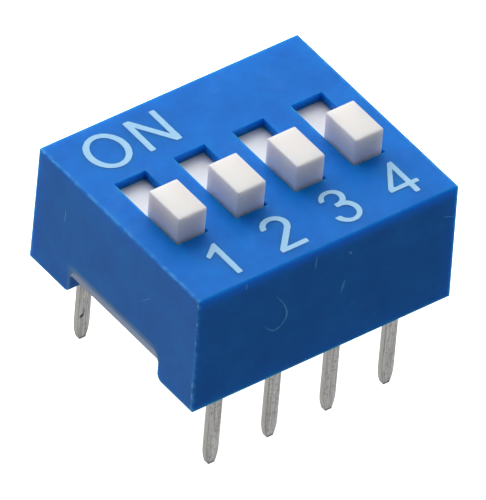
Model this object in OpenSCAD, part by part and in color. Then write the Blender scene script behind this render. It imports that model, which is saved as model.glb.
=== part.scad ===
// Four-position DIP slide switch for through-hole circuit boards.
// X runs along the row of positions, from 1 to 4, and +Y is the ON side.
// Z = 0 is the seating plane that the cover's feet stand on, so the pins reach below it.

/* [Grid] */
// Distance from one position to the next
pitch = 2.54; // [2.1:0.01:3.2]
// Distance between the two rows of pins
row_spacing = 7.62; // [6.3:0.01:9.2]

/* [Cover] */
// Height of the cover above the seating plane
cover_h = 5.08; // [4.2:0.01:6.2]
// Thickness of the cover's top
roof_t = 0.4; // [0.3:0.01:0.6]
// Thickness of the two end walls
end_wall_t = 0.51; // [0.4:0.01:0.8]
// Thickness of the two long walls at the top
side_wall_t = 0.54; // [0.4:0.01:0.8]
// How much further out each long wall stands at the bottom
side_draft = 0.1; // [0:0.01:0.2]
// Rounding along the top edge of the long wall on the numbered side
front_edge_r = 0.1; // [0.1:0.01:0.4]
// Clear space between the pins and the long wall beside them
pin_margin = 0.22; // [0.15:0.01:0.5]

/* [End notches] */
// Width of the notch in each end wall
notch_w = 5.17; // [3:0.01:6.2]
// Height of the notch above the seating plane
notch_h = 1.15; // [0.9:0.01:1.4]
// Place of the notch's middle along Y
notch_y = -0.13; // [-0.2:0.01:0.2]
// Fillet in the notch's top corners
notch_fillet_r = 0.35; // [0.1:0.01:0.4]
// Rounding on the corner of each foot beside the notch
foot_r = 0.28; // [0.1:0.01:0.4]

/* [Windows] */
// Width of each window in the cover's top
window_w = 1.34; // [1.1:0.01:1.61]
// Length of each window
window_l = 3.7; // [3.08:0.01:4.44]
// Place of the windows' middle along Y
window_y = -0.05; // [-0.1:0.01:0.1]

/* [Sliders] */
// Clear space between the knob and the window on each side
knob_gap = 0.065; // [0.04:0.005:0.1]
// Length of the knob along its travel
knob_l = 1.79; // [1.4:0.01:2.15]
// Height of the knob above the cover
knob_h = 1.05; // [0.5:0.01:1.3]
// Space left between the knob and the window's end at each end of the travel
end_gap = 0.09; // [0.05:0.01:0.2]
// Clear space between the sliding plate and the cover's roof
slide_gap = 0.03; // [0.02:0.005:0.06]
// Thickness of the sliding plate that closes the window from below
plate_t = 0.5; // [0.3:0.01:0.7]
// How far the plate still reaches past the window at the end of its travel
plate_lap = 0.15; // [0.1:0.01:0.2]
// Least clear space between the plate's end and the long wall
plate_margin = 0.2; // [0.1:0.01:0.3]
// Wall around the pocket that holds the spring contact
carrier_wall_t = 0.3; // [0.2:0.01:0.35]
// Height of the carrier's lower edge above the base's floor
carrier_clear = 0.3; // [0.2:0.01:0.5]

/* [Base] */
// Thickness of the base's floor
floor_t = 0.95; // [0.8:0.01:1.1]
// Clear space between the base and the cover's walls
base_gap = 0.04; // [0.02:0.005:0.08]
// Thickness of the dividers between neighbouring sliders
divider_t = 0.36; // [0.25:0.01:0.5]
// Clear space between a slider's plate and the divider beside it
divider_gap = 0.06; // [0.04:0.005:0.1]

/* [Terminals] */
// Thickness of the strip that the terminals are stamped from
strip_t = 0.25; // [0.2:0.01:0.3]
// Width of a pin
pin_w = 0.53; // [0.4:0.01:0.6]
// Length of a pin below the seating plane
pin_l = 3.92; // [3:0.01:5]
// Length of a pin's curved taper
tip_l = 0.7; // [0.4:0.01:0.8]
// Width of a pin at its very end
tip_w = 0.27; // [0.15:0.01:0.4]
// Width of the contact pad set into the floor
pad_w = 0.9; // [0.7:0.01:1.1]
// Length of the narrow neck between the pad and the bend
neck_l = 0.5; // [0.4:0.01:0.8]
// Radius inside the bend
bend_r = 0.1; // [0.05:0.01:0.15]
// How far the front pad reaches past the contact's finger at OFF
pad_margin = 0.2; // [0.15:0.01:0.25]
// Bare floor between the front pad and the back pad
pad_break = 0.6; // [0.4:0.01:0.8]

/* [Spring contacts] */
// Thickness of the spring strip
spring_t = 0.12; // [0.08:0.01:0.15]
// Width of the spring strip
spring_w = 0.9; // [0.7:0.01:0.95]
// Width of the slot that splits each leg into two fingers
spring_slot_w = 0.2; // [0.1:0.01:0.3]
// Half the length of the flat crown under the carrier's roof
crown_half = 0.45; // [0.3:0.01:0.55]
// Distance from the middle of the spring to where its fingers touch
finger_reach = 1.0; // [0.9:0.01:1.2]
// Length of the turned-up end beyond that
finger_tip_l = 0.2; // [0.15:0.01:0.25]
// Rise of the turned-up end
finger_tip_rise = 0.3; // [0.2:0.01:0.4]
// Clear space between the fingers and the pads
touch_gap = 0.02; // [0.01:0.005:0.04]
// Clear space around the spring in its pocket
pocket_gap = 0.05; // [0.03:0.005:0.08]

/* [Resin] */
// Thickness of the sealing resin under the base
resin_t = 0.4; // [0.2:0.01:0.4]
// How far the resin stays back from the outer face in the end notches
resin_recess = 0.02; // [0.02:0.01:0.15]

/* [Hidden] */
$fn = 48;
positions = 4;
// Extra length of cutting shapes, so that they pass clear through what they cut
over = 1;

travel = window_l - knob_l - 2 * end_gap;
off_y = window_y - travel / 2;
on_y = off_y + travel;
knob_w = window_w - 2 * knob_gap;
plate_w = pitch - divider_t - 2 * divider_gap;
plate_l = window_l + travel + 2 * plate_lap;

// The cavity has room for the two rows of pins and for the plates over their whole travel
plate_reach = plate_l / 2 + max(-off_y, on_y) + plate_margin;
pin_reach = row_spacing / 2 + strip_t / 2 + pin_margin;
cavity_l = positions * pitch;
cavity_w = 2 * max(pin_reach, plate_reach);
cover_l = cavity_l + 2 * end_wall_t;
cover_top_w = cavity_w + 2 * side_wall_t;
cover_bottom_w = cover_top_w + 2 * side_draft;
roof_z = cover_h - roof_t;
plate_z = roof_z - slide_gap;

floor_z = notch_h + floor_t;
base_l = cavity_l - 2 * base_gap;
base_w = cavity_w - 2 * base_gap;

spring_roof_z = plate_z - plate_t;
pocket_w = spring_w + 2 * pocket_gap;
pocket_l = 2 * (finger_reach + finger_tip_l + spring_t / 2 + pocket_gap);
carrier_w = pocket_w + 2 * carrier_wall_t;
carrier_l = pocket_l + 2 * carrier_wall_t;
carrier_z = floor_z + carrier_clear;

// Both fingers lie on the front pad at OFF, and only one of them does at ON
front_pad_end = max(off_y + finger_reach, on_y - finger_reach) + pad_margin;
back_pad_end = front_pad_end + pad_break;
pin_y = row_spacing / 2;
// Radius of the arcs that narrow a pin from its full width to its end
tip_inset = (pin_w - tip_w) / 2;
tip_r = (tip_l * tip_l + tip_inset * tip_inset) / (2 * tip_inset);

// Place along X of a position, counted from 1
function position_x(n) = (n - (positions + 1) / 2) * pitch;

// A box that is centred on X and Y and stands on z
module block(l, w, h, z = 0) {
    translate([-l / 2, -w / 2, z]) cube([l, w, h]);
}

// Turns an outline drawn in Y and Z into a slab of the given length, centred on X
module along_x(l) {
    rotate([90, 0, 90]) translate([0, 0, -l / 2]) linear_extrude(l) children();
}

// Turns an outline drawn in X and Z into a slab of the given width, centred on Y
module along_y(w) {
    rotate([90, 0, 0]) translate([0, 0, -w / 2]) linear_extrude(w) children();
}

// Outline of the end notch in Y and Z: filleted above, flared round the feet below
module notch_outline() {
    translate([notch_y, 0]) {
        difference() {
            translate([-notch_w / 2, -over]) square([notch_w, notch_h + over]);
            for (side = [-1, 1])
                scale([side, 1]) translate([notch_w / 2 - notch_fillet_r, notch_h - notch_fillet_r])
                    difference() {
                        square(notch_fillet_r + over);
                        circle(notch_fillet_r);
                    }
        }
        for (side = [-1, 1])
            scale([side, 1]) translate([notch_w / 2, 0])
                difference() {
                    translate([-foot_r, -over]) square([2 * foot_r, foot_r + over]);
                    translate([foot_r, foot_r]) circle(foot_r);
                }
    }
}

// Outline of the cover in Y and Z: long walls that lean out downwards, one top edge rounded
module cover_outline() {
    lean = atan2(side_draft, cover_h);
    edge = [-cover_top_w / 2, cover_h];
    centre = edge + [front_edge_r / tan((90 + lean) / 2), -front_edge_r];
    difference() {
        polygon([
            [-cover_bottom_w / 2, 0],
            [cover_bottom_w / 2, 0],
            [cover_top_w / 2, cover_h],
            edge
        ]);
        difference() {
            polygon([
                centre,
                centre + [0, front_edge_r + over],
                edge + [-over, over],
                centre + (front_edge_r + over) * [-cos(lean), sin(lean)]
            ]);
            translate(centre) circle(front_edge_r);
        }
    }
}

// The moulded blue shell: open below, with a window for each knob and a notch at each end
module cover() {
    color("royalblue") difference() {
        along_x(cover_l) cover_outline();
        block(cavity_l, cavity_w, roof_z + over, -over);
        for (n = [1 : positions])
            translate([position_x(n), window_y, 0]) block(window_w, window_l, cover_h + over);
        along_x(cover_l + 2 * over) notch_outline();
    }
}

// The moulded tray that holds the terminals, with dividers that keep the sliders apart
module base() {
    color("royalblue") difference() {
        union() {
            block(base_l, base_w, floor_t, notch_h);
            for (n = [1 : positions - 1])
                translate([position_x(n) + pitch / 2, 0, 0])
                    block(divider_t, base_w, plate_z - notch_h, notch_h);
        }
        terminals();
    }
}

// The cast resin that closes the underside and shows in the end notches
module resin_seal() {
    resin_z = notch_h - resin_t;
    color("slategray") difference() {
        union() {
            block(cavity_l, cavity_w, resin_t, resin_z);
            intersection() {
                along_x(cover_l - 2 * resin_recess) notch_outline();
                block(cover_l, cavity_w, resin_t, resin_z);
            }
        }
        terminals();
    }
}

// Outline of a pin in X and Z, narrowed at its end by two arcs
module pin_outline() {
    taper_z = tip_l - pin_l;
    translate([-pin_w / 2, taper_z]) square([pin_w, cover_h - taper_z]);
    intersection() {
        translate([-pin_w / 2, -pin_l]) square([pin_w, tip_l]);
        translate([pin_w / 2 - tip_r, taper_z]) circle(tip_r);
        translate([tip_r - pin_w / 2, taper_z]) circle(tip_r);
    }
}

// One terminal with its pin on the +Y side; its pad reaches in as far as pad_y
module terminal_shape(pad_y) {
    outer_y = pin_y + strip_t / 2;
    bend_y = outer_y - strip_t - bend_r;
    bend_z = floor_z - strip_t - bend_r;
    pad_l = pin_y - neck_l - pad_y;
    translate([-pad_w / 2, pad_y, floor_z - strip_t]) cube([pad_w, pad_l, strip_t]);
    intersection() {
        along_x(pin_w) {
            translate([pad_y, floor_z - strip_t]) square([bend_y - pad_y, strip_t]);
            translate([outer_y - strip_t, -pin_l]) square([strip_t, bend_z + pin_l]);
            translate([bend_y, bend_z]) intersection() {
                difference() {
                    circle(bend_r + strip_t);
                    circle(bend_r);
                }
                square(bend_r + strip_t);
            }
        }
        along_y(2 * outer_y + over) pin_outline();
    }
}

// Terminals 1 to 4 run along the front from position 1; 5 to 8 come back along the ON side
module terminal(n) {
    front = n <= positions;
    place = front ? n : 2 * positions + 1 - n;
    color("silver") translate([position_x(place), 0, 0])
        rotate(front ? 180 : 0) terminal_shape(front ? -front_pad_end : back_pad_end);
}

module terminals() {
    for (n = [1 : 2 * positions]) terminal(n);
}

// The white slider at OFF: knob, sliding plate, and a carrier with a pocket for the spring
module slider(n) {
    joined_z = plate_z - plate_t / 2;
    color("white") translate([position_x(n), off_y, 0]) {
        block(knob_w, knob_l, cover_h + knob_h - joined_z, joined_z);
        block(plate_w, plate_l, plate_t, spring_roof_z);
        difference() {
            block(carrier_w, carrier_l, joined_z - carrier_z, carrier_z);
            block(pocket_w, pocket_l, spring_roof_z, 0);
        }
    }
}

// A strip bent along straight runs between the given points in Y and Z
module bent_strip(points, t) {
    for (p = points) translate(p) circle(d = t);
    for (i = [1 : len(points) - 1]) {
        run = points[i] - points[i - 1];
        translate(points[i - 1]) rotate(atan2(run.y, run.x))
            translate([0, -t / 2]) square([norm(run), t]);
    }
}

// The bent spring that rides in the slider and bridges the two pads at ON
module bridge_contact(n) {
    crown_z = spring_roof_z - spring_t / 2;
    finger_z = floor_z + touch_gap + spring_t / 2;
    right_half = [
        [crown_half, crown_z],
        [finger_reach, finger_z],
        [finger_reach + finger_tip_l, finger_z + finger_tip_rise]
    ];
    left_half = [for (i = [2 : -1 : 0]) [-right_half[i].x, right_half[i].y]];
    slot_l = finger_reach + finger_tip_l + spring_t - crown_half;
    color("goldenrod") translate([position_x(n), off_y, 0]) difference() {
        along_x(spring_w) bent_strip(concat(left_half, right_half), spring_t);
        for (side = [-1, 1])
            translate([0, side * (crown_half + spring_t + slot_l / 2), 0])
                block(spring_slot_w, slot_l, crown_z, 0);
    }
}

cover();
base();
resin_seal();
for (n = [1 : 2 * positions])
    terminal(n);
for (n = [1 : positions])
    slider(n);
for (n = [1 : positions])
    bridge_contact(n);
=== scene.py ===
import math

import bmesh
import bpy
from mathutils import Matrix, Vector, noise
from mathutils.bvhtree import BVHTree


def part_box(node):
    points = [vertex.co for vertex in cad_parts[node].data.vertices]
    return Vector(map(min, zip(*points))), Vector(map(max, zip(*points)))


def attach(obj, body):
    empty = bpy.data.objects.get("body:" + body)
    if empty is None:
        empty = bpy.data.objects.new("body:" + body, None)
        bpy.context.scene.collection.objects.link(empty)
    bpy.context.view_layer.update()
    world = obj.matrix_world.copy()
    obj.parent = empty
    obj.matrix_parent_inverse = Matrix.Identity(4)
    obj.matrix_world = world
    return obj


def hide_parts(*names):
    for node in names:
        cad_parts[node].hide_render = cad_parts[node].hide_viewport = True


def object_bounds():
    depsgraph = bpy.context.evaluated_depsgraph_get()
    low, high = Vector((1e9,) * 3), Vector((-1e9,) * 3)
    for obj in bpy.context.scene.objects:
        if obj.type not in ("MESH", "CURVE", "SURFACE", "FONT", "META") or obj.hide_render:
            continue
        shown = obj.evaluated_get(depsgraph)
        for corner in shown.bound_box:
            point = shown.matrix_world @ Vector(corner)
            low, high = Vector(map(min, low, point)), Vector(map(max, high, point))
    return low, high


# Looks of a four-position DIP slide switch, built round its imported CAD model.
# X runs from position 1 to position 4, +Y is the ON side, and Z = 0 is the seating plane.

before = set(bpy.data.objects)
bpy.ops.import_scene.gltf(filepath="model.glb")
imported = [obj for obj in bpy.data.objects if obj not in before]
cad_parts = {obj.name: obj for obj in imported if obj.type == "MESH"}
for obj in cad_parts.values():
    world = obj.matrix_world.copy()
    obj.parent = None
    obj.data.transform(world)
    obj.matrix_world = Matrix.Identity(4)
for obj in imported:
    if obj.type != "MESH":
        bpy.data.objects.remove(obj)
cad_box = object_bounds()

MM = 0.001
# Margins for finding parts of a mesh: well clear of a face, lying on a face, and one and the same point
NEAR = 0.1 * MM
TOUCHING = 0.001 * MM
SAME_POINT = 0.0005 * MM
# An edge that turns by more than this is a corner to round
SHARP = math.radians(50)
# Each long wall of the cover stands this much further out at its foot than at its top
DRAFT = 0.1 * MM
# Roundings of the cover's edges, in mm
CREST_ROUND, END_ROUND, OUTER_ROUND, WINDOW_ROUND = 0.09, 0.06, 0.03, 0.025
# The sockets of a Mix node that mixes colours
FACTOR, FIRST, SECOND, MIXED = 0, 6, 7, 2

POSITIONS = range(1, 5)
SLIDERS = [f"slider_{n}" for n in POSITIONS]
CONTACTS = [f"bridge_contact_{n}" for n in POSITIONS]
TERMINALS = sorted(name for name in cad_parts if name.startswith("terminal_"))
FLOOR_Z = cad_box[0][2]
COVER_LOW, COVER_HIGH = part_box("cover")
CAVITY_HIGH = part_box("base")[1]
# The resin shows in a notch of each end wall, up to NOTCH_TOP and from NOTCH_FRONT to NOTCH_BACK
NOTCH_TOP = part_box("resin_seal")[1].z
NOTCH_SIDES = [
    v.co.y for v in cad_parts["resin_seal"].data.vertices if abs(v.co.x) > CAVITY_HIGH.x + NEAR
]
NOTCH_FRONT, NOTCH_BACK = min(NOTCH_SIDES), max(NOTCH_SIDES)


# ---------------------------------------------------------------- node and colour helpers

def linear(colour):
    """An sRGB hex colour such as "#0B77D6" as linear RGBA."""
    channels = [int(colour[i:i + 2], 16) / 255 for i in (1, 3, 5)]
    flat = [c / 12.92 if c <= 0.04045 else ((c + 0.055) / 1.055) ** 2.4 for c in channels]
    return (*flat, 1.0)


def across(size_mm):
    """Pattern scale at which one feature is size_mm across, because coordinates are in metres."""
    return 1 / (size_mm * MM)


def add(tree, kind, inputs=None, **settings):
    """Adds a node: settings are its properties, inputs are values or the sockets that feed it."""
    node = tree.nodes.new("ShaderNode" + kind)
    for name, value in settings.items():
        setattr(node, name, value)
    for name, value in (inputs or {}).items():
        if isinstance(value, bpy.types.NodeSocket):
            tree.links.new(value, node.inputs[name])
        else:
            node.inputs[name].default_value = value
    return node


def new_material(name, **constants):
    """A material with one shader. Constants are the shader's own values, with _ for a space."""
    material = bpy.data.materials.new(name)
    material.use_nodes = True
    tree = material.node_tree
    tree.nodes.clear()
    shader = add(tree, "BsdfPrincipled")
    add(tree, "OutputMaterial", {"Surface": shader.outputs["BSDF"]})
    for name, value in constants.items():
        shader.inputs[name.replace("_", " ")].default_value = value
    spot = add(tree, "TexCoord").outputs["Object"]
    return material, tree, shader, spot


# ---------------------------------------------------------------- materials

def moulded_blue_polyester():
    """PBT from a spark-eroded mould: an even satin blue, a fine grain, paler rubbed edges that also carry a
    painted highlight.
    """
    material, tree, shader, spot = new_material(
        "moulded_blue_polyester", Roughness=0.5, IOR=1.5, Specular_IOR_Level=0.12, Subsurface_Weight=1.0,
        Subsurface_Radius=(0.5, 1.0, 1.0), Subsurface_Scale=0.6 * MM,
    )
    # Clouds 1.6 mm wide, the faint flow marks of the filled resin, which break up finely
    cloud = add(tree, "TexNoise", {"Vector": spot, "Scale": across(1.6), "Detail": 6.0, "Roughness": 0.75})
    body = add(tree, "ValToRGB", {"Fac": cloud.outputs["Fac"]})
    body.color_ramp.elements[0].position = 0.3
    body.color_ramp.elements[0].color = linear("#036ECE")
    body.color_ramp.elements[1].position = 0.7
    body.color_ramp.elements[1].color = linear("#0781E4")
    # Scuffs 1.1 mm long and 0.07 mm high, drawn along the long walls by handling
    drawn = add(tree, "Mapping", {"Vector": spot, "Scale": (across(1.1), across(1.1), across(0.07))})
    scuff = add(tree, "TexNoise", {"Vector": drawn.outputs["Vector"], "Scale": 1.0, "Detail": 2.0})
    faint = add(tree, "MapRange", {
        "Value": scuff.outputs["Fac"], "From Min": 0.56, "From Max": 0.78, "To Max": 0.2,
    })
    scuffed = add(tree, "Mix", {
        FACTOR: faint.outputs["Result"], FIRST: body.outputs["Color"], SECOND: linear("#3D8BE0"),
    }, data_type="RGBA")
    # Distance to the nearest edge of the two ends, which handling has rubbed paler and which carry a painted
    # highlight
    apart = add(tree, "SeparateXYZ", {0: spot})
    reach_x = add(tree, "Math", {0: apart.outputs["X"]}, operation="ABSOLUTE")
    reach_y = add(tree, "Math", {0: apart.outputs["Y"]}, operation="ABSOLUTE")
    gap_x = add(tree, "Math", {0: COVER_HIGH.x, 1: reach_x.outputs[0]}, operation="SUBTRACT")
    gap_y = add(tree, "Math", {0: COVER_HIGH.y - DRAFT / 2, 1: reach_y.outputs[0]}, operation="SUBTRACT")
    gap_z = add(tree, "Math", {0: COVER_HIGH.z, 1: apart.outputs["Z"]}, operation="SUBTRACT")
    near = add(tree, "Math", {0: gap_y.outputs[0], 1: gap_z.outputs[0]}, operation="MINIMUM")
    edge_gap = add(tree, "Math", {0: gap_x.outputs[0], 1: near.outputs[0]}, operation="MAXIMUM")
    edge = add(tree, "MapRange", {
        "Value": edge_gap.outputs[0], "From Min": 0.03 * MM, "From Max": 0.15 * MM,
        "To Min": 1.0, "To Max": 0.0,
    }, interpolation_type="SMOOTHSTEP")
    # Chips about 0.25 mm long break up the rubbed line and its painted highlight
    chip = add(tree, "TexNoise", {"Vector": spot, "Scale": across(0.25), "Detail": 3.0})
    rubbed_and_highlit = add(tree, "MapRange", {
        "Value": chip.outputs["Fac"], "From Min": 0.4, "From Max": 0.66, "To Min": 0.1, "To Max": 0.9,
    })
    # The pale edge colour is partly rubbed wear and partly a painted highlight along the edges
    wear_and_highlight = add(tree, "Math", {0: edge.outputs["Result"], 1: rubbed_and_highlit.outputs["Result"]}, operation="MULTIPLY")
    worn_and_highlit = add(tree, "Mix", {
        FACTOR: wear_and_highlight.outputs[0], FIRST: scuffed.outputs[MIXED], SECOND: linear("#4F9FF4"),
    }, data_type="RGBA")
    # The wall just above each end's notch is painted pale: partly a film of resin that wetted it and dried,
    # partly a painted reflection of the white floor in the notch's edge
    above = add(tree, "MapRange", {
        "Value": apart.outputs["Z"], "From Min": NOTCH_TOP, "From Max": NOTCH_TOP + 0.28 * MM,
        "To Min": 0.7, "To Max": 0.0,
    }, interpolation_type="SMOOTHSTEP")
    front_end = add(tree, "MapRange", {
        "Value": apart.outputs["Y"], "From Min": NOTCH_FRONT, "From Max": NOTCH_FRONT + 0.5 * MM,
    })
    back_end = add(tree, "MapRange", {
        "Value": apart.outputs["Y"], "From Min": NOTCH_BACK - 0.3 * MM, "From Max": NOTCH_BACK + 0.2 * MM,
        "To Min": 1.0, "To Max": 0.0,
    })
    along = add(tree, "Math", {
        0: front_end.outputs["Result"], 1: back_end.outputs["Result"],
    }, operation="MINIMUM")
    film = add(tree, "Math", {0: above.outputs["Result"], 1: along.outputs[0]}, operation="MULTIPLY")
    film_and_painted_reflection = add(tree, "Mix", {
        FACTOR: film.outputs[0], FIRST: worn_and_highlit.outputs[MIXED], SECOND: linear("#90B8EC"),
    }, data_type="RGBA")
    # Painted glow: the front wall is painted bluer below its crest, standing in for light that enters the top
    # and bleeds down inside it
    below = add(tree, "MapRange", {
        "Value": apart.outputs["Z"], "From Min": COVER_HIGH.z - 0.55 * MM, "From Max": COVER_HIGH.z,
    })
    wall = add(tree, "MapRange", {
        "Value": apart.outputs["Y"], "From Min": DRAFT - COVER_HIGH.y,
        "From Max": DRAFT + CREST_ROUND * MM - COVER_HIGH.y, "To Min": 1.0, "To Max": 0.0,
    })
    painted_glow_share = add(tree, "Math", {0: below.outputs["Result"], 1: wall.outputs["Result"]}, operation="MULTIPLY")
    painted_glow = add(tree, "Mix", {
        FACTOR: painted_glow_share.outputs[0], FIRST: film_and_painted_reflection.outputs[MIXED], SECOND: linear("#008CFF"),
    }, data_type="RGBA")
    # Spark-erosion grain, about 0.03 mm on the real surface, drawn 0.09 mm wide so that it shows
    grain = add(tree, "TexNoise", {"Vector": spot, "Scale": across(0.09), "Detail": 2.0})
    bump = add(tree, "Bump", {"Height": grain.outputs["Fac"], "Strength": 0.5, "Distance": 0.006 * MM})
    tree.links.new(painted_glow.outputs[MIXED], shader.inputs["Base Color"])
    tree.links.new(bump.outputs["Normal"], shader.inputs["Normal"])
    return material


def moulded_white_nylon():
    """Nylon lets light in a little, so the knobs' sides stay bright and their edges soft."""
    material, tree, shader, spot = new_material(
        "moulded_white_nylon", Roughness=0.45, IOR=1.53, Subsurface_Weight=1.0,
        Subsurface_Radius=(1.0, 0.85, 0.7), Subsurface_Scale=0.5 * MM,
    )
    cloud = add(tree, "TexNoise", {"Vector": spot, "Scale": across(0.7), "Detail": 3.0})
    body = add(tree, "Mix", {
        FACTOR: cloud.outputs["Fac"], FIRST: linear("#EDE8E4"), SECOND: linear("#F4F1EF"),
    }, data_type="RGBA")
    # Painted bounce light: the foot of each knob, and a little of the slide below it, is painted bluer where
    # the blue cover shines into it
    height = add(tree, "SeparateXYZ", {0: spot})
    slide = add(tree, "MapRange", {
        "Value": height.outputs["Z"], "From Min": COVER_HIGH.z - 0.5 * MM, "From Max": COVER_HIGH.z,
        "To Min": 0.2, "To Max": 0.7,
    })
    knob = add(tree, "MapRange", {
        "Value": height.outputs["Z"], "From Min": COVER_HIGH.z, "From Max": COVER_HIGH.z + 0.45 * MM,
        "To Min": 0.7, "To Max": 0.0,
    })
    foot = add(tree, "Math", {0: slide.outputs["Result"], 1: knob.outputs["Result"]}, operation="MINIMUM")
    painted_bounce = add(tree, "Mix", {
        FACTOR: foot.outputs[0], FIRST: body.outputs[MIXED], SECOND: linear("#DDE8FF"),
    }, data_type="RGBA")
    grain = add(tree, "TexNoise", {"Vector": spot, "Scale": across(0.12), "Detail": 2.0})
    bump = add(tree, "Bump", {"Height": grain.outputs["Fac"], "Strength": 0.4, "Distance": 0.006 * MM})
    tree.links.new(painted_bounce.outputs[MIXED], shader.inputs["Base Color"])
    tree.links.new(bump.outputs["Normal"], shader.inputs["Normal"])
    return material


def printed_pale_ink():
    """Pad-printed ink: a thin matte film whose blue ground shows through a little."""
    material, tree, shader, spot = new_material("printed_pale_ink", Roughness=0.6, Specular_IOR_Level=0.3)
    # Coverage varies over about 0.2 mm, as the silicone pad lays the ink down
    cover = add(tree, "TexNoise", {"Vector": spot, "Scale": across(0.2), "Detail": 3.0})
    thick = add(tree, "MapRange", {"Value": cover.outputs["Fac"], "From Min": 0.35, "From Max": 0.65})
    film = add(tree, "Mix", {
        FACTOR: thick.outputs["Result"], FIRST: linear("#A4D7FC"), SECOND: linear("#ACDDFF"),
    }, data_type="RGBA")
    tree.links.new(film.outputs[MIXED], shader.inputs["Base Color"])
    return material


def scratched_polyester():
    """PBT with its skin torn: much paler than the moulded skin, with small bluish glints."""
    material, tree, shader, spot = new_material(
        "scratched_polyester", Roughness=0.45, Specular_IOR_Level=0.4, Specular_Tint=linear("#5AA8FF"),
    )
    tear = add(tree, "TexNoise", {"Vector": spot, "Scale": across(0.12), "Detail": 3.0})
    body = add(tree, "Mix", {
        FACTOR: tear.outputs["Fac"], FIRST: linear("#2A9AFC"), SECOND: linear("#5CC4FF"),
    }, data_type="RGBA")
    tree.links.new(body.outputs[MIXED], shader.inputs["Base Color"])
    return material


def cast_epoxy():
    """Potting epoxy that ran level as it set: a cool grey, smooth, half glossy, slightly cloudy."""
    material, tree, shader, spot = new_material("cast_epoxy", Roughness=0.3, IOR=1.55)
    cloud = add(tree, "TexNoise", {"Vector": spot, "Scale": across(0.9), "Detail": 4.0})
    body = add(tree, "Mix", {
        FACTOR: cloud.outputs["Fac"], FIRST: linear("#80A0C8"), SECOND: linear("#98B6DA"),
    }, data_type="RGBA")
    # It is darker and bluer towards the notch's top
    height = add(tree, "SeparateXYZ", {0: spot})
    darker_to_top = add(tree, "MapRange", {
        "Value": height.outputs["Z"], "From Min": NOTCH_TOP - 0.3 * MM, "From Max": NOTCH_TOP,
    })
    darkened_to_top = add(tree, "Mix", {
        FACTOR: darker_to_top.outputs["Result"], FIRST: body.outputs[MIXED], SECOND: linear("#688ECA"),
    }, data_type="RGBA")
    dip = add(tree, "TexNoise", {"Vector": spot, "Scale": across(0.6), "Detail": 1.0})
    bump = add(tree, "Bump", {"Height": dip.outputs["Fac"], "Strength": 0.5, "Distance": 0.02 * MM})
    tree.links.new(darkened_to_top.outputs[MIXED], shader.inputs["Base Color"])
    tree.links.new(bump.outputs["Normal"], shader.inputs["Normal"])
    return material


def matte_tin_plate():
    """Matte tin on stamped strip: grey, drawn into fine streaks along each pin by the rolls."""
    material, tree, shader, spot = new_material("matte_tin_plate", Metallic=0.8)
    # Roll marks 0.05 mm wide and 1.2 mm long
    drawn = add(tree, "Mapping", {"Vector": spot, "Scale": (across(0.05), across(0.05), across(1.2))})
    streak = add(tree, "TexNoise", {"Vector": drawn.outputs["Vector"], "Scale": 1.0, "Detail": 3.0})
    spread = add(tree, "MapRange", {"Value": streak.outputs["Fac"], "From Min": 0.4, "From Max": 0.6})
    plate = add(tree, "Mix", {
        FACTOR: spread.outputs["Result"], FIRST: linear("#D6D3CE"), SECOND: linear("#FFFFFE"),
    }, data_type="RGBA")
    # Smudges 0.12 mm wide, where the plate has dulled
    smudge = add(tree, "TexNoise", {"Vector": spot, "Scale": across(0.12), "Detail": 3.0})
    dull = add(tree, "MapRange", {
        "Value": smudge.outputs["Fac"], "From Min": 0.52, "From Max": 0.66, "To Max": 0.4,
    })
    dulled = add(tree, "Mix", {
        FACTOR: dull.outputs["Result"], FIRST: plate.outputs[MIXED], SECOND: linear("#8C8882"),
    }, data_type="RGBA")
    # The sheared end carries no tin and has darkened
    height = add(tree, "SeparateXYZ", {0: spot})
    end = add(tree, "MapRange", {
        "Value": height.outputs["Z"], "From Min": FLOOR_Z + 0.03 * MM, "From Max": FLOOR_Z + 0.12 * MM,
        "To Min": 0.85, "To Max": 0.0,
    })
    # The stamped flanks were cut through the plate, so they are greyer than its faces
    faces = add(tree, "SeparateXYZ", {0: add(tree, "NewGeometry").outputs["Normal"]})
    sideways = add(tree, "Math", {0: faces.outputs["X"]}, operation="ABSOLUTE")
    flank = add(tree, "MapRange", {
        "Value": sideways.outputs[0], "From Min": 0.6, "From Max": 0.95, "To Max": 0.85,
    })
    stamped = add(tree, "Mix", {
        FACTOR: flank.outputs["Result"], FIRST: dulled.outputs[MIXED], SECOND: linear("#9C9893"),
    }, data_type="RGBA")
    sheared = add(tree, "Mix", {
        FACTOR: end.outputs["Result"], FIRST: stamped.outputs[MIXED], SECOND: linear("#5C564E"),
    }, data_type="RGBA")
    # Painted reflection: each pin is painted bluish just below the body, where the blue cover reflects in it
    painted_blue_reflection = add(tree, "MapRange", {
        "Value": height.outputs["Z"], "From Min": -0.55 * MM, "From Max": -0.1 * MM, "To Max": 0.55,
    })
    blue_reflected = add(tree, "Mix", {
        FACTOR: painted_blue_reflection.outputs["Result"], FIRST: sheared.outputs[MIXED], SECOND: linear("#B4C6E8"),
    }, data_type="RGBA")
    rough = add(tree, "MapRange", {"Value": streak.outputs["Fac"], "To Min": 0.26, "To Max": 0.44})
    bump = add(tree, "Bump", {"Height": streak.outputs["Fac"], "Strength": 0.5, "Distance": 0.006 * MM})
    tree.links.new(blue_reflected.outputs[MIXED], shader.inputs["Base Color"])
    tree.links.new(rough.outputs["Result"], shader.inputs["Roughness"])
    tree.links.new(bump.outputs["Normal"], shader.inputs["Normal"])
    return material


def dried_flux():
    """A spot of dried soldering flux: dark brown, matte and thinner in places."""
    material, tree, shader, spot = new_material("dried_flux", Roughness=0.7, Specular_IOR_Level=0.2)
    cloud = add(tree, "TexNoise", {"Vector": spot, "Scale": across(0.08), "Detail": 2.0})
    body = add(tree, "Mix", {
        FACTOR: cloud.outputs["Fac"], FIRST: linear("#4A453E"), SECOND: linear("#7D766C"),
    }, data_type="RGBA")
    tree.links.new(body.outputs[MIXED], shader.inputs["Base Color"])
    return material


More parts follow.
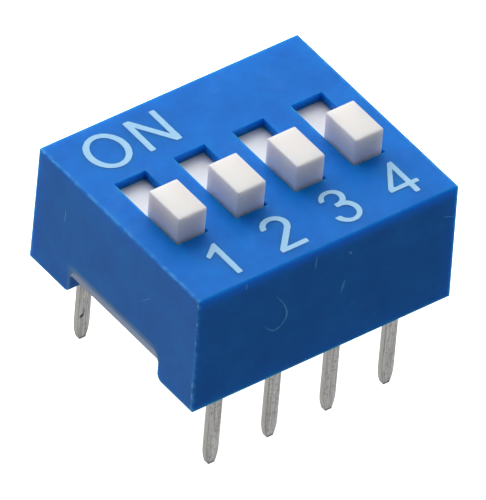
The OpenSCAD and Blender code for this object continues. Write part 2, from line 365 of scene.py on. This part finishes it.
def gold_plated_spring():
    """Gold flash on rolled bronze: warm and bright, with faint marks along the strip."""
    material, tree, shader, spot = new_material("gold_plated_spring", Metallic=1.0)
    drawn = add(tree, "Mapping", {"Vector": spot, "Scale": (across(0.04), across(0.6), across(0.6))})
    streak = add(tree, "TexNoise", {"Vector": drawn.outputs["Vector"], "Scale": 1.0, "Detail": 2.0})
    plate = add(tree, "Mix", {
        FACTOR: streak.outputs["Fac"], FIRST: linear("#C99A3E"), SECOND: linear("#E6BF6A"),
    }, data_type="RGBA")
    rough = add(tree, "MapRange", {"Value": streak.outputs["Fac"], "To Min": 0.22, "To Max": 0.38})
    tree.links.new(plate.outputs[MIXED], shader.inputs["Base Color"])
    tree.links.new(rough.outputs["Result"], shader.inputs["Roughness"])
    return material


def white_studio_floor():
    """White card lit until it shows almost no shade, with the faint cloudiness of its pulp."""
    material, tree, shader, spot = new_material("white_studio_floor", Roughness=0.9, Emission_Strength=1.0)
    # Paper forms clouds about 3 mm wide
    pulp = add(tree, "TexNoise", {"Vector": spot, "Scale": across(3.0), "Detail": 3.0})
    card = add(tree, "Mix", {
        FACTOR: pulp.outputs["Fac"], FIRST: linear("#FCFCFC"), SECOND: linear("#FFFFFF"),
    }, data_type="RGBA")
    tree.links.new(card.outputs[MIXED], shader.inputs["Base Color"])
    tree.links.new(card.outputs[MIXED], shader.inputs["Emission Color"])
    return material


# ---------------------------------------------------------------- pieces and edges

def mesh_piece(name, shape, material):
    """Turns a bmesh into a piece that rides on the housing."""
    mesh = bpy.data.meshes.new(name)
    shape.to_mesh(mesh)
    shape.free()
    mesh.materials.append(material)
    piece = bpy.data.objects.new(name, mesh)
    bpy.context.scene.collection.objects.link(piece)
    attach(piece, "housing")
    return piece


def edge_radius(middle):
    """The rounding of one of the cover's edges, in mm, by where its middle lies."""
    if abs(middle.x) < CAVITY_HIGH.x + NEAR and abs(middle.y) < CAVITY_HIGH.y + NEAR:
        return WINDOW_ROUND if middle.z > CAVITY_HIGH.z + NEAR else 0.0
    if middle.z > COVER_HIGH.z - NEAR and middle.y < -CAVITY_HIGH.y:
        return CREST_ROUND
    return END_ROUND if middle.x < -CAVITY_HIGH.x and middle.z > NOTCH_TOP + NEAR else OUTER_ROUND


def cover_shell():
    """The cover with whole flats in place of triangles, so that its outer edges round cleanly."""
    shape = bmesh.new()
    shape.from_mesh(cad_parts["cover"].data)
    # The front crest starts square here, because its rounding is drawn with the others
    crest_y = max(v.co.y for v in shape.verts if v.co.z > COVER_HIGH.z - TOUCHING)
    crest_reach = 0.12 * MM
    for vertex in shape.verts:
        if vertex.co.z > COVER_HIGH.z - crest_reach and vertex.co.y < crest_reach - crest_y:
            vertex.co.y = -crest_y
            vertex.co.z = COVER_HIGH.z
    bmesh.ops.remove_doubles(shape, verts=shape.verts, dist=SAME_POINT)
    # Cuts along the windows' sides and the notches' top let the leftover triangles dissolve into flats
    rim = [v.co for v in shape.verts if v.co.z > COVER_HIGH.z - TOUCHING and abs(v.co.x) < CAVITY_HIGH.x]
    windows = [co for co in rim if abs(co.y) < COVER_HIGH.y / 2]
    square_on = 0.99
    cuts = {(0, round(co.x, 6)) for co in windows} | {(1, round(co.y, 6)) for co in windows}
    for axis, place in sorted(cuts | {(2, round(NOTCH_TOP, 6))}):
        facing = Vector((0, 0, 0))
        facing[axis] = 1
        flats = [f for f in shape.faces if abs(f.normal[0 if axis == 2 else 2]) > square_on]
        corners = dict.fromkeys(v for f in flats for v in f.verts)
        edges = dict.fromkeys(e for f in flats for e in f.edges)
        found = bmesh.ops.bisect_plane(
            shape, geom=[*corners, *edges, *flats], dist=0.0001 * MM,
            plane_co=facing * place, plane_no=facing,
        )
        for part in found["geom_cut"]:
            if isinstance(part, bmesh.types.BMEdge):
                part.seam = True
    bmesh.ops.dissolve_limit(
        shape, angle_limit=math.radians(0.5), verts=shape.verts, edges=shape.edges, delimit={"SEAM"},
    )
    # A hair under size, so that the marks laid on it stay within the CAD model's box
    under_size = 0.9995
    bmesh.ops.scale(shape, verts=shape.verts, vec=(under_size, under_size, 1))
    share = shape.edges.layers.float.new("bevel_weight_edge")
    for face in shape.faces:
        face.smooth = True
    for edge in shape.edges:
        edge.seam = False
        if edge.calc_face_angle() > SHARP:
            edge[share] = edge_radius((edge.verts[0].co + edge.verts[1].co) / 2) / CREST_ROUND
            edge.smooth = edge[share] > 0
    piece = mesh_piece("cover_shell", shape, BLUE)
    bevel = piece.modifiers.new("soft_edges", "BEVEL")
    bevel.width = CREST_ROUND * MM
    bevel.segments = 5
    bevel.limit_method = "WEIGHT"
    bevel.use_clamp_overlap = False
    bevel.miter_outer = "MITER_ARC"
    piece.modifiers.new("even_shading", "WEIGHTED_NORMAL").keep_sharp = True
    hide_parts("cover")
    return piece


def resin_fill():
    """The resin with its lower edge drawn round in each notch, where it pulled back as it set."""
    shape = bmesh.new()
    shape.from_mesh(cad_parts["resin_seal"].data)
    bmesh.ops.remove_doubles(shape, verts=shape.verts, dist=SAME_POINT)
    share = shape.edges.layers.float.new("bevel_weight_edge")
    foot = min(v.co.z for v in shape.verts) + TOUCHING
    for face in shape.faces:
        face.smooth = True
    for edge in shape.edges:
        outside = all(abs(v.co.x) > CAVITY_HIGH.x + NEAR and v.co.z < foot for v in edge.verts)
        if edge.calc_face_angle() > SHARP:
            edge.smooth = outside
            edge[share] = float(outside)
    piece = mesh_piece("resin_fill", shape, RESIN)
    bevel = piece.modifiers.new("pulled_back", "BEVEL")
    bevel.width = 0.14 * MM
    bevel.segments = 4
    bevel.limit_method = "WEIGHT"
    bevel.use_clamp_overlap = False
    piece.modifiers.new("even_shading", "WEIGHTED_NORMAL").keep_sharp = True
    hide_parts("resin_seal")


def soften(name, radius_mm, steps):
    """Rounds a CAD node's sharp edges with modifiers."""
    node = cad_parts[name]
    node.modifiers.new("weld_seams", "WELD").merge_threshold = SAME_POINT
    bevel = node.modifiers.new("soft_edges", "BEVEL")
    bevel.width = radius_mm * MM
    bevel.segments = steps
    bevel.limit_method = "ANGLE"
    bevel.angle_limit = SHARP
    bevel.miter_outer = "MITER_ARC"
    node.modifiers.new("even_shading", "WEIGHTED_NORMAL").keep_sharp = False


def finish_nodes(names, material):
    """Gives CAD nodes their finish."""
    for name in names:
        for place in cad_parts[name].material_slots:
            place.material = material


# ---------------------------------------------------------------- printed signs

def arc(x, y, rx, ry, start, end, steps=20):
    """Points of an ellipse's arc, in mm, from one angle to another in degrees."""
    turns = [math.radians(start + (end - start) * i / steps) for i in range(steps + 1)]
    return [(x + rx * math.cos(t), y + ry * math.sin(t)) for t in turns]


def ink_edge(outline, soft_mm=0.05):
    """An outline in mm with its sharp corners rounded and its edge wandering, as wet ink dries."""
    nearly_straight = math.radians(150)
    points = []
    for before, corner, after in zip(outline[-1:] + outline[:-1], outline, outline[1:] + outline[:1]):
        here = Vector(corner)
        back = Vector(before) - here
        ahead = Vector(after) - here
        if back.angle(ahead) > nearly_straight:
            points.append(here)
            continue
        first = here + back.normalized() * min(soft_mm, back.length / 3)
        last = here + ahead.normalized() * min(soft_mm, ahead.length / 3)
        for t in (0, 0.25, 0.5, 0.75, 1):
            points.append((first * (1 - t) + here * t) * (1 - t) + (here * (1 - t) + last * t) * t)
    step_mm, wander_mm, ripple_mm = 0.07, 0.007, 0.12
    edge = []
    for start, end in zip(points, points[1:] + points[:1]):
        parts = max(1, round((end - start).length / step_mm))
        edge += [start.lerp(end, i / parts) for i in range(parts)]
    return [p + wander_mm * noise.noise_vector(Vector((p.x, p.y, 0)) / ripple_mm).xy for p in edge]


def print_sign(name, outlines):
    """One printed sign on the cover's top: outlines in mm, the second and later ones are holes."""
    film_mm = 0.008
    curve = bpy.data.curves.new(name, "CURVE")
    curve.dimensions = "2D"
    curve.fill_mode = "BOTH"
    curve.extrude = film_mm / 2 * MM
    for outline in outlines:
        spline = curve.splines.new("POLY")
        edge = ink_edge(outline)
        spline.points.add(len(edge) - 1)
        for point, place in zip(spline.points, edge):
            point.co = (place.x * MM, place.y * MM, 0, 1)
        spline.use_cyclic_u = True
    drawn = bpy.data.objects.new(name, curve)
    shape = bmesh.new()
    shape.from_mesh(drawn.to_mesh())
    bmesh.ops.translate(shape, verts=shape.verts, vec=(0, 0, COVER_HIGH.z + film_mm / 2 * MM))
    drawn.to_mesh_clear()
    bpy.data.objects.remove(drawn)
    mesh_piece(name, shape, INK)


def print_signs():
    """ON at the back, the numbers of the positions at the front."""
    # Seeds the wander of the ink's edge, so that every run prints the same signs
    noise.seed_set(4)
    print_sign("print_on_o", [
        arc(-3.66, 3.31, 0.845, 0.91, 0, 352.5, 47),
        arc(-3.66, 3.31, 0.59, 0.705, 0, 352.5, 47),
    ])
    print_sign("print_on_n", [[
        (-2.405, 2.465), (-2.405, 4.18), (-2.15, 4.18), (-1.27, 2.86), (-1.27, 4.18),
        (-1.04, 4.18), (-1.04, 2.465), (-1.28, 2.465), (-2.17, 3.8), (-2.17, 2.465),
    ]])
    print_sign("print_1", [[
        (-3.355, -2.505), (-3.355, -4.205), (-3.58, -4.205), (-3.58, -2.88),
        (-3.96, -3.1), (-4.015, -2.94), (-3.47, -2.505),
    ]])
    print_sign("print_2", [
        arc(-1.075, -2.95, 0.33, 0.3, 178, -35)
        + [(-1.64, -4.02), (-1.64, -4.195), (-0.5, -4.195), (-0.5, -4.0), (-1.315, -4.0)]
        + arc(-1.065, -2.95, 0.56, 0.505, -35, 178)
    ])
    print_sign("print_3", [
        arc(1.455, -2.87, 0.495, 0.44, 178, -41)
        + arc(1.5, -3.645, 0.56, 0.55, 58, -172)
        + arc(1.515, -3.67, 0.325, 0.345, -172, 90)
        + [(1.345, -3.32), (1.345, -3.12)]
        + arc(1.445, -2.86, 0.285, 0.26, -90, 178)
    ])
    print_sign("print_4", [
        [
            (4.18, -2.405), (4.355, -2.405), (4.355, -3.56), (4.605, -3.56), (4.605, -3.735),
            (4.355, -3.735), (4.355, -4.14), (4.14, -4.14), (4.14, -3.735), (3.38, -3.735), (3.38, -3.56),
        ],
        [(4.15, -3.555), (3.61, -3.555), (4.15, -2.745)],
    ])


# ---------------------------------------------------------------- scratches and specks

def skin_of(piece):
    """The rounded surface of a piece, to lay marks on."""
    return BVHTree.FromObject(piece, bpy.context.evaluated_depsgraph_get())


def smooth_line(points, steps=8):
    """A Catmull-Rom curve through the points."""
    knots = [points[0] * 2 - points[1]] + points + [points[-1] * 2 - points[-2]]
    line = []
    for a, b, c, d in zip(knots, knots[1:], knots[2:], knots[3:]):
        for i in range(steps):
            t = i / steps
            bend = (a * 2 - b * 5 + c * 4 - d) * t * t
            sway = (b * 3 - a - c * 3 + d) * t ** 3
            line.append((b * 2 + (c - a) * t + bend + sway) / 2)
    return line + [points[-1]]


def lay_mark(name, skin, points_mm, inwards, width_mm, material):
    """A thin mark on the skin, which is found inwards from the points. It tapers at both ends."""
    inwards = Vector(inwards).normalized()
    line = smooth_line([Vector(p) * MM for p in points_mm])
    start_off_mm, lift_mm, ripple_mm = 3, 0.0015, 0.15
    stations = (-1, -0.5, 0, 0.5, 1)
    shape = bmesh.new()
    rows = []
    for i, place in enumerate(line):
        hit, normal = skin.ray_cast(place - inwards * start_off_mm * MM, inwards)[:2]
        ahead = line[min(i + 1, len(line) - 1)] - line[max(i - 1, 0)]
        side = normal.cross(ahead).normalized()
        ragged = 1 + 0.5 * noise.noise(place / (ripple_mm * MM))
        half = width_mm / 2 * MM * ragged * math.sin(math.pi * (i + 0.3) / (len(line) - 0.4)) ** 0.6
        row = []
        for share in stations:
            near, outwards = skin.find_nearest(hit + side * half * share)[:2]
            row.append(shape.verts.new(near + outwards * lift_mm * MM))
        rows.append(row)
    for one, two in zip(rows, rows[1:]):
        for i in range(len(stations) - 1):
            shape.faces.new((one[i], one[i + 1], two[i + 1], two[i]))
    bmesh.ops.recalc_face_normals(shape, faces=shape.faces)
    if sum((f.normal for f in shape.faces), Vector()).dot(inwards) > 0:
        bmesh.ops.reverse_faces(shape, faces=shape.faces)
    mesh_piece(name, shape, material)


def scratch_cover(shell):
    """The marks that handling has left on the cover."""
    skin = skin_of(shell)
    front, end, crest = (0, 1, 0), (1, 0, 0), (1, 0, -1)
    low, high = COVER_LOW / MM, COVER_HIGH / MM
    for name, points, inwards, width in (
        ("scratch_hook", [
            (-2.2, low.y, 3.73), (-1.9, low.y, 3.3), (-1.72, low.y, 2.9), (-1.69, low.y, 2.63),
            (-1.79, low.y, 2.39), (-1.98, low.y, 2.22), (-2.22, low.y, 2.18), (-2.49, low.y, 2.37),
            (-2.62, low.y, 2.56),
        ], front, 0.07),
        ("scratch_upright", [(0.79, low.y, 3.07), (0.74, low.y, 2.82), (0.67, low.y, 2.51)], front, 0.08),
        ("scratch_crest", [(-3.54, low.y, 4.96), (-3.55, low.y, 4.84), (-3.56, low.y, 4.68)], front, 0.06),
        ("scratch_short", [(-0.5, low.y, 4.76), (-0.54, low.y, 4.5), (-0.56, low.y, 4.22)], front, 0.06),
        ("scratch_dot", [(0.91, low.y, 4.28), (0.97, low.y, 4.22), (1.03, low.y, 4.15)], front, 0.1),
        ("scratch_far", [(5.02, low.y, 3.93), (5.25, low.y, 3.83), (5.48, low.y, 3.73)], front, 0.045),
        ("scratch_end_upright", [(low.x, 2.98, 3.53), (low.x, 2.96, 3.25), (low.x, 2.99, 2.96)], end, 0.05),
        ("scratch_end_slant", [(low.x, -1.46, 2.67), (low.x, -1.76, 2.95), (low.x, -2.05, 3.24)], end, 0.025),
        ("chip_corner_top", [(low.x, -4.66, 4.94), (low.x, -4.665, 4.84), (low.x, -4.67, 4.73)], end, 0.17),
        ("chip_corner_upper", [(low.x, -4.68, 4.09), (low.x, -4.68, 4.01), (low.x, -4.68, 3.92)], end, 0.12),
        ("chip_corner_second", [(low.x, -4.66, 3.25), (low.x, -4.67, 3.14), (low.x, -4.67, 3.02)], end, 0.07),
        ("chip_corner_lower", [(low.x, -4.67, 1.34), (low.x, -4.67, 1.2), (low.x, -4.67, 1.08)], end, 0.08),
        ("chip_corner_foot", [(low.x, -4.69, 0.8), (low.x, -4.69, 0.67), (low.x, -4.69, 0.54)], end, 0.08),
        ("chip_crest_back", [
            (low.x, 4.68, high.z), (low.x, 4.55, high.z), (low.x, 4.35, high.z),
        ], crest, 0.11),
        ("chip_crest_second", [
            (low.x, 3.98, high.z), (low.x, 3.9, high.z), (low.x, 3.78, high.z),
        ], crest, 0.07),
        ("chip_crest_middle", [
            (low.x, 1.66, high.z), (low.x, 1.45, high.z), (low.x, 1.3, high.z),
        ], crest, 0.06),
        ("chip_crest_front", [
            (low.x, -3.2, high.z), (low.x, -3.35, high.z), (low.x, -3.5, high.z),
        ], crest, 0.06),
    ):
        lay_mark(name, skin, points, inwards, width, SCRATCH)


def spot_flux():
    """A speck of flux on the back terminal of position 1, with a thin tail up the pin."""
    name = min(TERMINALS, key=lambda n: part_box(n)[0].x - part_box(n)[0].y)
    low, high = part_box(name)
    x, y = (low.x + high.x) / 2 / MM, low.y / MM
    skin = skin_of(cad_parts[name])
    back = (0, 1, 0)
    lay_mark("flux_speck", skin, [
        (x - 0.19, y, -2.85), (x - 0.14, y, -2.83), (x - 0.08, y, -2.79), (x - 0.05, y, -2.72),
    ], back, 0.13, FLUX)
    lay_mark("flux_tail", skin, [
        (x - 0.07, y, -2.8), (x - 0.045, y, -2.7), (x - 0.035, y, -2.58), (x - 0.04, y, -2.45),
    ], back, 0.045, FLUX)


# ---------------------------------------------------------------- stage, light and camera

def lay_floor():
    """A plain white floor at the pins' tips, which only the camera sees."""
    half_side_m = 1.5
    shape = bmesh.new()
    bmesh.ops.create_grid(
        shape, x_segments=1, y_segments=1, size=half_side_m, matrix=Matrix.Translation((0, 0, FLOOR_Z)),
    )
    mesh = bpy.data.meshes.new("studio_floor")
    shape.to_mesh(mesh)
    shape.free()
    mesh.materials.append(white_studio_floor())
    floor = bpy.data.objects.new("studio_floor", mesh)
    bpy.context.scene.collection.objects.link(floor)
    floor.visible_diffuse = False
    floor.visible_glossy = False
    floor.visible_shadow = False


def hang_softbox(name, towards, distance_mm, side_mm, brightness):
    """A square soft light of a given brightness per area, which faces the switch from that direction."""
    lamp = bpy.data.lights.new(name, "AREA")
    lamp.shape = "SQUARE"
    lamp.size = side_mm * MM
    lamp.energy = brightness * math.pi * lamp.size ** 2
    holder = bpy.data.objects.new(name, lamp)
    aim = Vector(towards).normalized()
    holder.location = Vector((0, 0, COVER_HIGH.z / 2)) + aim * distance_mm * MM
    holder.rotation_euler = aim.to_track_quat("Z", "Y").to_euler()
    bpy.context.scene.collection.objects.link(holder)


def light_room():
    """A dim room with broad soft glows: each is brightest in its own direction."""
    world = bpy.data.worlds.new("studio_room")
    world.use_nodes = True
    tree = world.node_tree
    tree.nodes.clear()
    heading = add(tree, "TexCoord").outputs["Generated"]
    tightness = 4.0
    room = 0.0
    for towards, brightness in (
        ((0.48, 0.57, 0.67), 1.8),
        ((-0.48, 0.57, -0.67), 1.1),
        ((0.48, -0.57, -0.67), 0.47),
        ((-0.57, -0.48, -0.67), 0.08),
        ((0.58, -0.58, 0.58), 0.57),
        ((-0.58, 0.58, 0.58), 0.37),
    ):
        facing = add(tree, "VectorMath", {0: heading, 1: towards}, operation="DOT_PRODUCT")
        front_only = add(tree, "Math", {0: facing.outputs["Value"], 1: 0.0}, operation="MAXIMUM")
        fall = add(tree, "Math", {0: front_only.outputs[0], 1: tightness}, operation="POWER")
        glow = add(tree, "Math", {0: fall.outputs[0], 1: brightness, 2: room}, operation="MULTIPLY_ADD")
        room = glow.outputs[0]
    light = add(tree, "Background", {"Color": linear("#FFFFFF"), "Strength": room})
    paper = add(tree, "Background", {"Color": linear("#FFFFFF"), "Strength": 1.0})
    seen = add(tree, "LightPath")
    both = add(tree, "MixShader", {
        0: seen.outputs["Is Camera Ray"], 1: light.outputs[0], 2: paper.outputs[0],
    })
    add(tree, "OutputWorld", {"Surface": both.outputs[0]})
    bpy.context.scene.world = world


def set_camera():
    """A long lens from the numbered side and position 1, leaning over slightly."""
    target = Vector((-1.132, -1.426, 2.849)) * MM
    azimuth = math.radians(-39.83)
    elevation = math.radians(41.99)
    lean = math.radians(5.0)
    distance_mm = 600
    back = Vector((
        math.sin(azimuth) * math.cos(elevation),
        -math.cos(azimuth) * math.cos(elevation),
        math.sin(elevation),
    ))
    level = Vector((math.cos(azimuth), math.sin(azimuth), 0))
    rise = back.cross(level)
    right = level * math.cos(lean) + rise * math.sin(lean)
    up = rise * math.cos(lean) - level * math.sin(lean)
    lens = bpy.data.cameras.new("studio_camera")
    lens.sensor_fit = "VERTICAL"
    lens.sensor_height = 36
    lens.lens = 1246.9
    lens.clip_start = 0.01
    lens.clip_end = 20
    holder = bpy.data.objects.new("studio_camera", lens)
    turn = Matrix((right, up, back)).transposed().to_4x4()
    holder.matrix_world = Matrix.Translation(target + back * distance_mm * MM) @ turn
    bpy.context.scene.collection.objects.link(holder)
    bpy.context.scene.camera = holder


# ---------------------------------------------------------------- making

BLUE = moulded_blue_polyester()
WHITE = moulded_white_nylon()
INK = printed_pale_ink()
SCRATCH = scratched_polyester()
FLUX = dried_flux()
RESIN = cast_epoxy()

finish_nodes(["cover", "base"], BLUE)
finish_nodes(["resin_seal"], RESIN)
finish_nodes(SLIDERS, WHITE)
finish_nodes(TERMINALS, matte_tin_plate())
finish_nodes(CONTACTS, gold_plated_spring())
for name in SLIDERS:
    soften(name, radius_mm=0.06, steps=3)
for name in TERMINALS:
    soften(name, radius_mm=0.015, steps=2)
shell = cover_shell()
resin_fill()
print_signs()
scratch_cover(shell)
spot_flux()

set_camera()
lay_floor()
light_room()
hang_softbox("key_softbox", (0, 1, 1), distance_mm=120, side_mm=100, brightness=2.17)
hang_softbox("left_softbox", (-1, 0, 0.15), distance_mm=120, side_mm=100, brightness=0.34)
bpy.context.scene.view_settings.view_transform = "Standard"
